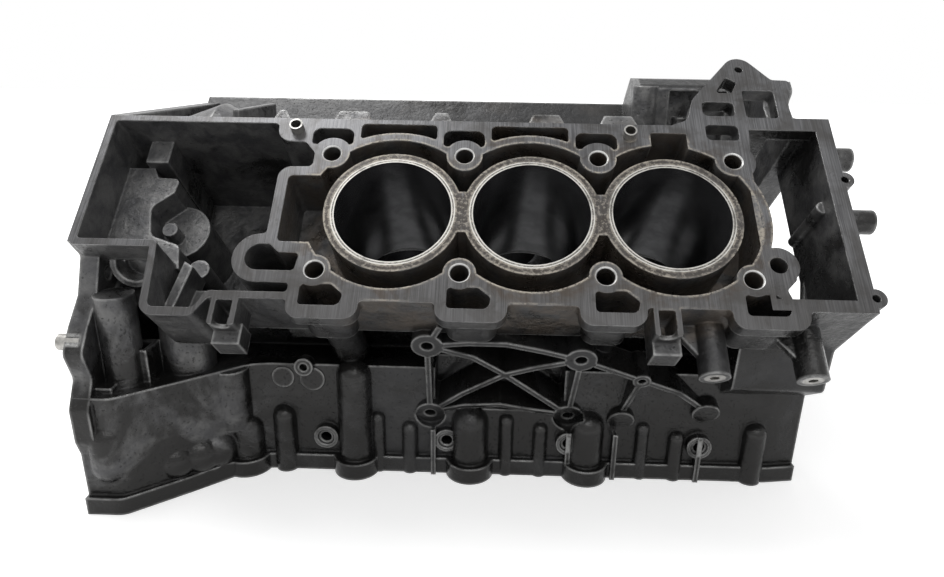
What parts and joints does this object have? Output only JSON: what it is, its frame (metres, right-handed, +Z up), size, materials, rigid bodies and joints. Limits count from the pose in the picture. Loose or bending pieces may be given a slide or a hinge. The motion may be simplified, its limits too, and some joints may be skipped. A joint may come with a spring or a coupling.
{
  "type": "engine block",
  "caption": "V-type open-deck cylinder block with cast-in liners, crossed engine mount bracing, deep crankcase skirt and an open timing chest.",
  "frame": {"origin": "on the pan rail plane, under the crankshaft axis, halfway between the rear and front ends", "axes": "+X along the crankshaft towards the timing end, +Z up, right bank towards -Y"},
  "size_m": [0.583, 0.4412, 0.3344],
  "materials": {
    "cast_aluminium": "as cast, darkened",
    "liner_iron": "honed",
    "cap_iron": "machined",
    "bolt_steel": "black oxide",
    "plain_steel": "ground"
  },
  "bodies": {
    "root": {"block_casting": "cast_aluminium", "cylinder_liner_right_1": "liner_iron", "cylinder_liner_right_2": "liner_iron", "cylinder_liner_right_3": "liner_iron", "head_dowel_right_rear": "plain_steel", "head_dowel_right_front": "plain_steel", "drain_plug_right_rear": "plain_steel", "drain_plug_right_front": "plain_steel", "bell_housing_dowel_right": "plain_steel", "cylinder_liner_left_1": "liner_iron", "cylinder_liner_left_2": "liner_iron", "cylinder_liner_left_3": "liner_iron", "head_dowel_left_rear": "plain_steel", "head_dowel_left_front": "plain_steel", "drain_plug_left_rear": "plain_steel", "drain_plug_left_front": "plain_steel", "bell_housing_dowel_left": "plain_steel", "main_bearing_cap_1": "cap_iron", "main_bearing_cap_2": "cap_iron", "main_bearing_cap_3": "cap_iron", "main_bearing_cap_4": "cap_iron", "main_bearing_cap_5": "cap_iron", "main_cap_bolts": "bolt_steel", "oil_gallery_plug_rear": "plain_steel", "oil_gallery_plug_front": "plain_steel"}
  },
  "joints": []
}
